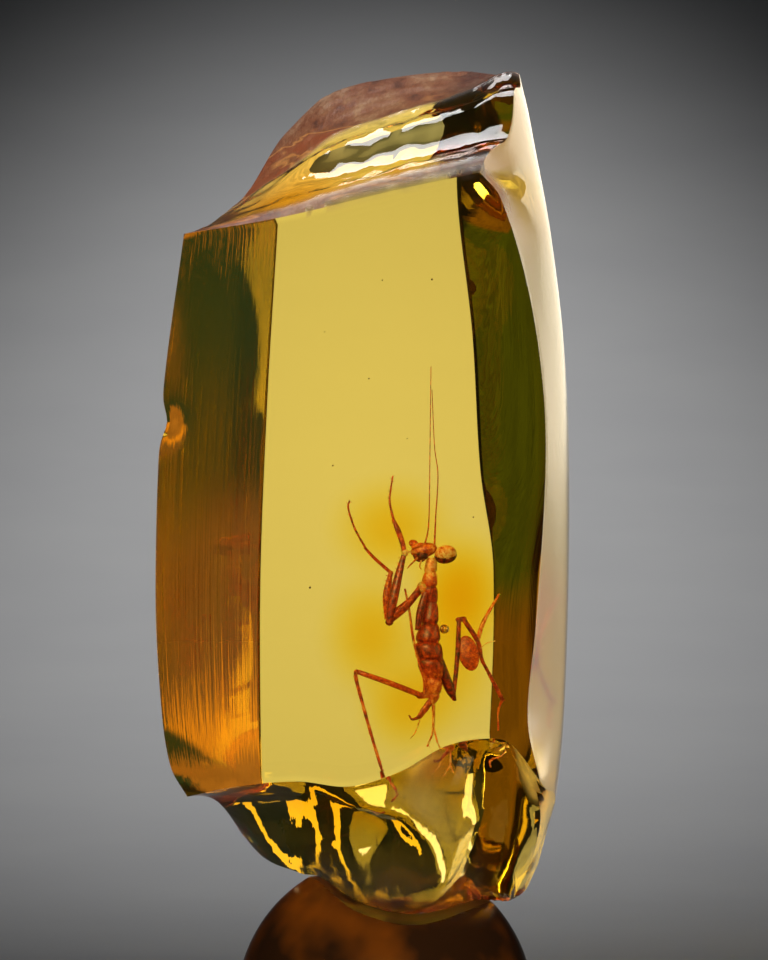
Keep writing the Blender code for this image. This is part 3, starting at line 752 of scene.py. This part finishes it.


# %% [markdown]
# ## Cuticle
#
# An insect's shell is chitin, thin, hard and a little see-through. In fossil resin it darkens to maroon on the
# thick parts and stays orange where light shines through the thin ones. So the colour follows the "tint"
# attribute, broken up by fine mottles of about 0.2 mm that are partly the cuticle's own mottled tone and partly
# painted gold glints, some of the light scatters inside, and a dull polish gives small glints.

# %% Insect cuticle


def cuticle_material():
    material, shader = new_material("insect_chitin", {
        "Roughness": 0.38, "IOR": 1.55, "Subsurface Weight": 0.35, "Subsurface Scale": 0.0003,
        "Subsurface Radius": (1.0, 0.35, 0.15), "Coat Weight": 0.25, "Coat Roughness": 0.2})
    tint = add_node(material, "Attribute", {"attribute_name": "tint"}).outputs["Fac"]
    place = add_node(material, "TexCoord").outputs["Object"]
    # mottles of about 0.2 mm: partly the cuticle's own mottled tone, partly painted gold glints where the tint
    # runs high
    mottle_and_glints = add_node(material, "TexNoise", inputs={"Scale": 5200.0, "Detail": 4.0, "Roughness": 0.7},
                      links={"Vector": place})
    spread = add_node(material, "MapRange", inputs={
        "From Min": 0.3, "From Max": 0.7, "To Min": -0.4, "To Max": 0.35}, links={"Value": mottle_and_glints})
    mixed = add_node(material, "Math", {"operation": "ADD"}, links={0: tint, 1: spread})
    tone = set_stops(add_node(material, "ValToRGB", links={"Fac": mixed}),
                     (0.0, "#3c0a04"), (0.25, "#942408"), (0.5, "#d2480c"), (0.75, "#f48c28"), (1.0, "#ffd08a"))
    link(material, tone, shader.inputs["Base Color"])
    dents = add_node(material, "TexNoise", inputs={"Scale": 16000.0, "Detail": 2.0}, links={"Vector": place})
    bump = add_node(material, "Bump", inputs={"Strength": 0.5, "Distance": 0.00002}, links={"Height": dents})
    link(material, bump, shader.inputs["Normal"])
    return material


mantis = new_piece("mantis_body", mantis_mesh(), cuticle_material(), smooth_below=50.0)
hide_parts("mantis")

# %% [markdown]
# ## Stains, a bubble and dust
#
# The resin round the insect is stained gold-orange, a small bubble sits against its back, and a few specks
# of dust hang in the clear window. A stain has no surface: it is a lens of stronger absorption with an
# index of 1, so light goes through its skin unbent, and as it thins to nothing at the rim its edge is soft.

# %% Stains in the resin
# (X, Y, height, half width, half height, half thickness)
STAINS = [(4.7, 0.6, 23.8, 2.9, 3.6, 0.5), (0.4, 1.0, 21.8, 2.9, 3.6, 0.27), (2.2, 1.4, 18.4, 2.9, 2.9, 0.3),
          (1.4, 1.8, 27.0, 3.6, 3.0, 0.27), (4.2, 2.2, 20.5, 2.9, 3.9, 0.25)]
STAIN_ABSORPTION = 4700.0
STAIN_FALLOFF = 3.2


def stain_mesh(stain):
    x, y, z, half_width, half_height, half_thickness = stain
    bm = bmesh.new()
    bmesh.ops.create_uvsphere(bm, u_segments=48, v_segments=32, radius=1.0)
    rim = math.exp(-STAIN_FALLOFF)
    for vert in bm.verts:
        out = math.hypot(vert.co.x, vert.co.z)
        thick = (math.exp(-STAIN_FALLOFF * out * out) - rim) / (1 - rim)
        vert.co.y = math.copysign(max(thick, 0.0), vert.co.y) if abs(vert.co.y) > 1e-6 else 0.0
    bmesh.ops.scale(bm, verts=bm.verts, vec=(half_width * MM, half_thickness * MM, half_height * MM))
    bmesh.ops.translate(bm, verts=bm.verts, vec=(x * MM, y * MM, z * MM))
    return bm


STAINED_RESIN, _ = new_material("stained_resin", {
    "IOR": 1.0, "Transmission Weight": 1.0, "Roughness": 0.0, "Base Color": linear("#ffffff")})
absorption = add_node(STAINED_RESIN, "VolumeAbsorption", inputs={
    "Color": linear("#fff32a"), "Density": STAIN_ABSORPTION})
link(STAINED_RESIN, absorption, STAINED_RESIN.node_tree.nodes["Material Output"].inputs["Volume"])
for number, stain in enumerate(STAINS, 1):
    piece = new_piece(f"stain_{number}", stain_mesh(stain), STAINED_RESIN, smooth_below=180.0)

# %% A bubble and dust
BUBBLE = (3.92, -1.95, 22.15)
BUBBLE_RADIUS = 0.23
# (X, Y, height, radius) of each speck
DUST = [(3.3, -5.0, 39.1, 0.055), (0.9, -3.0, 39.1, 0.04), (0.25, -5.5, 34.3, 0.04), (-1.5, -4.0, 30.1, 0.045),
        (-2.6, -5.0, 24.2, 0.06), (5.3, -4.5, 27.6, 0.04), (-1.9, -2.5, 36.6, 0.03), (2.1, -6.0, 31.4, 0.03)]


def balls_mesh(balls, subdivisions):
    bm = bmesh.new()
    for x, y, z, radius in balls:
        made = bmesh.ops.create_icosphere(bm, subdivisions=subdivisions, radius=radius * MM)["verts"]
        bmesh.ops.translate(bm, verts=made, vec=(x * MM, y * MM, z * MM))
    return bm


def air_material():
    """Air seen from inside the resin, with a thin uneven film: the index is air's over amber's."""
    material, shader = new_material("air_in_resin", {
        "IOR": 1 / AMBER_INDEX, "Transmission Weight": 1.0, "Base Color": linear("#fff4c8")})
    place = add_node(material, "TexCoord").outputs["Object"]
    film = add_node(material, "TexNoise", inputs={"Scale": 6000.0}, links={"Vector": place})
    rough = add_node(material, "Math", {"operation": "MULTIPLY"}, inputs={1: 0.05}, links={0: film})
    link(material, rough, shader.inputs["Roughness"])
    return material


# plant dust: brown specks without any gloss
PLANT_DUST = clouded_material("plant_dust", {"Roughness": 0.9}, 9000.0, 2.0, (0.0, "#2c1a08"), (1.0, "#7a5a28"))
bubble = new_piece("bubble", balls_mesh([(*BUBBLE, BUBBLE_RADIUS)], 4), air_material(), smooth_below=180.0)
dust = new_piece("dust", balls_mesh(DUST, 1), PLANT_DUST, smooth_below=30.0)

# %% [markdown]
# ## The stand
#
# The stand is a small dome of very dark resin, cut off by the photo's edge and finished plainly. A
# profile spun about its axis makes it, and its top is then pressed down to the amber's lower outline, so
# that the stone sits in it without a gap.

# %% The stand
STAND_X = 1.03
STAND_RADIUS = 7.3
STAND_SHOULDER = 3.6
STAND_CHAMFER = 0.4
STAND_STEPS = 40
# how far the stone sinks in, in millimetres
SEAT_BITE = 0.03


def stand_mesh():
    bm = bmesh.new()
    angles = [math.pi / 2 * i / STAND_STEPS for i in range(STAND_STEPS + 1)]
    outline = [(STAND_RADIUS * math.sin(a), STAND_SHOULDER + STAND_RADIUS * math.cos(a)) for a in angles]
    outline += [(STAND_RADIUS, STAND_CHAMFER), (STAND_RADIUS - STAND_CHAMFER, 0.0), (0.0, 0.0)]
    verts = [bm.verts.new((x * MM, 0.0, z * MM)) for x, z in outline]
    edges = [bm.edges.new(pair) for pair in zip(verts, verts[1:])]
    bmesh.ops.spin(bm, geom=verts + edges, cent=(0, 0, 0), axis=(0, 0, 1), angle=math.tau, steps=160,
                   use_merge=True)
    bmesh.ops.remove_doubles(bm, verts=bm.verts, dist=1e-6)
    bmesh.ops.translate(bm, verts=bm.verts, vec=(STAND_X * MM, 0, 0))
    for vert in bm.verts:
        seat = (curve_through(KEEL, vert.co.x / MM) + SEAT_BITE) * MM
        vert.co.z = min(vert.co.z, seat)
    bmesh.ops.recalc_face_normals(bm, faces=bm.faces)
    return bm


# dark cast resin with a dull polish, and brown clouds of about 5 mm painted into its colour as a glow where light
# gets in
DARK_RESIN = clouded_material("dark_cast_resin", {
    "IOR": 1.52, "Roughness": 0.3, "Specular IOR Level": 0.05, "Base Color": linear("#3a1c0a")},
    220.0, 3.0, (0.45, "#301a0a"), (0.7, "#7a3c08"))
stand = new_piece("stand_dome", stand_mesh(), DARK_RESIN, smooth_below=30.0)
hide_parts("stand")

# %% [markdown]
# ## Studio
#
# A pale floor that curves up behind the stone stands for a paper sweep, so there is one soft background.
# A wall that meets a floor would draw a line there, so the curve is very wide. Pools of light on it fade
# to darker corners.

# %% Floor and backdrop
SWEEP_FLAT = 0.05
SWEEP_CURVE = 1.0
SWEEP_TURN = 75.0
SWEEP_SIDE = 0.9
SWEEP_STEPS = 40


def sweep_mesh():
    """A profile of floor and slow curve, extruded from side to side."""
    bm = bmesh.new()
    outline = [(-SWEEP_SIDE, 0.0), (0.0, 0.0), (SWEEP_FLAT, 0.0)]
    for i in range(1, SWEEP_STEPS + 1):
        angle = math.radians(SWEEP_TURN) * i / SWEEP_STEPS
        outline.append((SWEEP_FLAT + SWEEP_CURVE * math.sin(angle), SWEEP_CURVE * (1 - math.cos(angle))))
    verts = [bm.verts.new((-SWEEP_SIDE, y, z)) for y, z in outline]
    edges = [bm.edges.new(pair) for pair in zip(verts, verts[1:])]
    grown = bmesh.ops.extrude_edge_only(bm, edges=edges)["geom"]
    far = [item for item in grown if isinstance(item, bmesh.types.BMVert)]
    bmesh.ops.translate(bm, verts=far, vec=(2 * SWEEP_SIDE, 0, 0))
    bmesh.ops.recalc_face_normals(bm, faces=bm.faces)
    return bm


def new_stage(name, bm, material):
    """Something round the object that isn't part of it."""
    made = new_object(name, bm, material)
    made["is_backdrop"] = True
    return made


# matt paper: pale, without gloss, with faint clouds of fibre
MATT_PAPER = clouded_material("matt_paper", {"Roughness": 0.9, "Specular IOR Level": 0.0}, 60.0, 4.0,
                              (0.0, "#c8c8ca"), (1.0, "#d2d2d2"))
new_stage("paper_sweep", sweep_mesh(), MATT_PAPER)

# %% [markdown]
# ## Coloured cards
#
# The dark bands of a clear block are not black resin: they are places where the block shows the side of
# the room instead of the wall behind it. A photographer stands coloured cards there. These are dark green
# and red-brown at the sides, warm white on the floor and nearly black above, and only light that has
# passed through the stone sees them.

# %% Cards round the stone
CARD_DISTANCE = 0.1
CARD_FOOT, CARD_HEAD = 0.0005, 0.09
CARD_STEPS = 24


def card_mesh(from_degrees, to_degrees):
    """A curved card round the stone; degrees turn from straight behind it towards the viewer's right."""
    bm = bmesh.new()
    start = math.radians(from_degrees)
    foot = bm.verts.new((CARD_DISTANCE * math.sin(start), CARD_DISTANCE * math.cos(start), CARD_FOOT))
    head = bm.verts.new((foot.co.x, foot.co.y, CARD_HEAD))
    edge = bm.edges.new((foot, head))
    bmesh.ops.spin(bm, geom=[foot, head, edge], cent=(0, 0, 0), axis=(0, 0, -1),
                   angle=math.radians(to_degrees - from_degrees), steps=CARD_STEPS)
    return bm


def flat_card_mesh(width, height, place, tilt):
    """A flat card, turned up from the floor by its tilt in degrees."""
    bm = bmesh.new()
    bmesh.ops.create_grid(bm, x_segments=1, y_segments=1, size=0.5)
    bmesh.ops.scale(bm, verts=bm.verts, vec=(width, height, 1.0))
    bmesh.ops.rotate(bm, verts=bm.verts, cent=(0, 0, 0), matrix=Matrix.Rotation(math.radians(tilt), 3, "X"))
    bmesh.ops.translate(bm, verts=bm.verts, vec=place)
    return bm


def card_material(name, low, high, turn_at, turn_over, streak_scale):
    """Glowing card: the colour changes over a height, with upright streaks."""
    material = bpy.data.materials.new(name)
    material.use_nodes = True
    material.node_tree.nodes.remove(material.node_tree.nodes["Principled BSDF"])
    place = add_node(material, "TexCoord").outputs["Object"]
    height = add_node(material, "SeparateXYZ", links={0: place}).outputs["Z"]
    stretched = add_node(material, "Mapping", inputs={"Scale": (1.0, 1.0, 0.2)}, links={"Vector": place})
    streaks = add_node(material, "TexNoise", inputs={"Scale": streak_scale, "Detail": 5.0, "Roughness": 0.6},
                       links={"Vector": stretched})
    shift = add_node(material, "Math", {"operation": "MULTIPLY_ADD"}, inputs={1: 0.006, 2: -0.003},
                     links={0: streaks})
    uneven = add_node(material, "Math", {"operation": "ADD"}, links={0: height, 1: shift})
    share = add_node(material, "MapRange", {"interpolation_type": "SMOOTHSTEP"}, inputs={
        "From Min": turn_at - turn_over, "From Max": turn_at + turn_over}, links={"Value": uneven})
    tone = set_stops(add_node(material, "ValToRGB", links={"Fac": share}), (0.0, low), (1.0, high))
    glow = add_node(material, "MapRange", inputs={
        "From Min": 0.3, "From Max": 0.7, "To Min": 0.6, "To Max": 1.4}, links={"Value": streaks})
    emission = add_node(material, "Emission", links={"Color": tone, "Strength": glow})
    link(material, emission, material.node_tree.nodes["Material Output"].inputs["Surface"])
    return material


def seen_through_stone_only(made):
    made.visible_camera = False
    made.visible_diffuse = False
    made.visible_glossy = False
    made.visible_shadow = False
    made.visible_volume_scatter = False


# name: (mesh, colour low, colour high, height of the change, half of its stretch, scale of the streaks)
CARDS = {
    "card_right": (card_mesh(65, 100), "#8f685d", "#2c4349", 0.0243, 0.0012, 350.0),
    "card_right_near": (card_mesh(57, 65), "#ffac50", "#2c4349", 0.0255, 0.001, 350.0),
    "card_right_edge": (card_mesh(38, 57), "#b07a50", "#2c4349", 0.050, 0.002, 350.0),
    "card_left": (card_mesh(-66, -24), "#c8b49a", "#b4ac9c", 0.018, 0.008, 350.0),
    "card_front_right": (card_mesh(122, 172), "#4e6e54", "#847258", 0.024, 0.004, 350.0),
    "card_high": (flat_card_mesh(0.7, 0.34, (0.0, 0.42, 0.30), 125), "#40381c", "#202418", 0.26, 0.05, 25.0),
    "card_floor": (flat_card_mesh(0.16, 0.085, (0.0, 0.062, 0.0012), 0), "#ffeec0", "#ffeec0", 0.1, 0.01, 120.0),
}
for name, (mesh, *look) in CARDS.items():
    seen_through_stone_only(new_stage(name, mesh, card_material(f"{name}_paint", *look)))

# %% [markdown]
# ## Camera
#
# The photo looks straight at the flat face, with its centre a little above the middle of the stone. A
# long lens keeps the sides as narrow as they are there.

# %% Camera
CAMERA_DISTANCE = 0.328
CAMERA_LENS = 250.0
SENSOR = 36.0
CAMERA_X = 0.00098
CAMERA_Z = 0.0294

camera_data = bpy.data.cameras.new("camera")
camera_data.sensor_fit = "VERTICAL"
camera_data.sensor_height = SENSOR
camera_data.sensor_width = SENSOR
camera_data.lens = CAMERA_LENS
camera_data.clip_start = 0.01
camera = bpy.data.objects.new("camera", camera_data)
camera.location = (CAMERA_X, -CAMERA_DISTANCE, CAMERA_Z)
camera.rotation_euler = (math.radians(90), 0, 0)
bpy.context.scene.collection.objects.link(camera)
bpy.context.scene.camera = camera
print("camera at", tuple(round(c, 4) for c in camera.location))

# %% [markdown]
# ## Lights
#
# A photographer hides a bright card behind a clear stone, just smaller than the stone, and that is what makes the
# window glow while the background stays grey. Here it is an area light that the camera can't see directly.
# Softboxes round the stone give the pale right edge and the glints of the breaks. Through the stone a softbox
# would show as a hard patch, so some are left out of the rays that pass it. They light only the stone and the
# insect, and the dark stand has a weak one of its own.

# %% Lights
STONE_MIDDLE = Vector((0.0, 0.0, 0.029))
STONE_AND_INSECT = bpy.data.collections.new("lit_by_softboxes")
STAND_ONLY = bpy.data.collections.new("lit_by_stand_box")
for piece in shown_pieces():
    (STAND_ONLY if piece is stand else STONE_AND_INSECT).objects.link(piece)


def softbox(name, place, aim, width, height, radiance, color="#ffffff", hidden_from=(), lit=STONE_AND_INSECT):
    """A rectangular light on one collection alone, whose face has the given radiance."""
    print("softbox:", name)
    data = bpy.data.lights.new(name, "AREA")
    data.shape = "RECTANGLE"
    data.size = width
    data.size_y = height
    data.energy = radiance * math.pi * width * height
    data.color = linear(color)[:3]
    lamp = bpy.data.objects.new(name, data)
    bpy.context.scene.collection.objects.link(lamp)
    lamp.location = place
    lamp.rotation_euler = (Vector(aim) - Vector(place)).to_track_quat("-Z", "Y").to_euler()
    lamp.visible_camera = False
    lamp.light_linking.receiver_collection = lit
    for rays in hidden_from:
        setattr(lamp, f"visible_{rays}", False)
    return lamp


def spot(name, place, aim, power, degrees, narrowed):
    """A pool of light with a soft rim, which may be narrower than it is high."""
    print("spot:", name)
    data = bpy.data.lights.new(name, "SPOT")
    data.energy = power
    data.spot_size = math.radians(degrees)
    data.spot_blend = 1.0
    data.shadow_soft_size = 0.03
    lamp = bpy.data.objects.new(name, data)
    bpy.context.scene.collection.objects.link(lamp)
    lamp.location = place
    lamp.rotation_euler = (Vector(aim) - Vector(place)).to_track_quat("-Z", "Y").to_euler()
    lamp.scale.x = narrowed


behind = softbox("card_behind", (0.0, 0.11, 0.0275), (0, 0, 0.0275), 0.07, 0.045, 0.036)
behind.data.spread = math.radians(50)
# name: (place, width, height, radiance, colour, kinds of rays that don't see it)
SOFTBOXES = {
    "front_left": ((-0.35, -0.40, 0.33), 0.35, 0.45, 3.5, "#ffffff", ()),
    "front_right": ((0.50, -0.18, 0.20), 0.26, 0.40, 3.0, "#ffffff", ()),
    "front_fill": ((-0.12, -0.24, 0.20), 0.26, 0.30, 9.0, "#ffffff", ("diffuse", "glossy")),
    "overhead": ((-0.08, 0.07, 0.5), 0.20, 0.22, 9.0, "#ffffff", ("diffuse", "transmission")),
    "right_strip": ((0.18, 0.30, 0.05), 0.30, 0.30, 2.6, "#fff3d8", ("transmission",)),
    "right_side": ((0.35, 0.0, 0.06), 0.30, 0.30, 3.0, "#fff8f4", ("transmission",)),
    "yellow_tube": ((0.083, 0.29, 0.24), 0.026, 0.22, 1.5, "#ffc830", ("diffuse", "glossy")),
    "streak_card": ((-0.045, 0.246, 0.131), 0.036, 0.05, 1.3, "#fff8e0", ("diffuse", "glossy")),
}
for name, (place, width, height, radiance, color, hidden_from) in SOFTBOXES.items():
    softbox(name, place, STONE_MIDDLE, width, height, radiance, color, hidden_from)
softbox("stand_box", (0.0, -0.30, 0.08), Vector((0.0, 0.0, 0.006)), 0.3, 0.3, 3.8, hidden_from=("glossy",),
        lit=STAND_ONLY)

# %% [markdown]
# ## The pools behind the stone
#
# The background of the photo is a round pool of light on a grey sweep. One narrow spot gives its middle
# and a wide faint one its reach, both from above, so that neither shines into the stone. A weak grey
# world keeps the unlit places from going black.

# %% Pools and world
spot("pool_behind", (0.0, 0.27, 0.8), (0.0, 0.27, 0.0), 13.0, 35, 0.28)
spot("pool_wide", (0.0, 0.16, 0.8), (0.0, 0.16, 0.0), 0.7, 54, 0.3)

world = bpy.data.worlds.new("studio")
bpy.context.scene.world = world
world.use_nodes = True
world.node_tree.nodes["Background"].inputs["Color"].default_value = linear("#8a8f92")
world.node_tree.nodes["Background"].inputs["Strength"].default_value = 0.05

# %% [markdown]
# ## Light paths
#
# Light crosses the block's skin and turns back inside it many times before it leaves, so it is followed for more
# bounces than usual, or the broken ends would fill with black. The plain view transform keeps the bright window's
# yellow.

# %% Light paths
cycles = bpy.context.scene.cycles
cycles.max_bounces = 20
cycles.transmission_bounces = 16
cycles.glossy_bounces = 8
cycles.diffuse_bounces = 3
bpy.context.scene.view_settings.view_transform = "Standard"
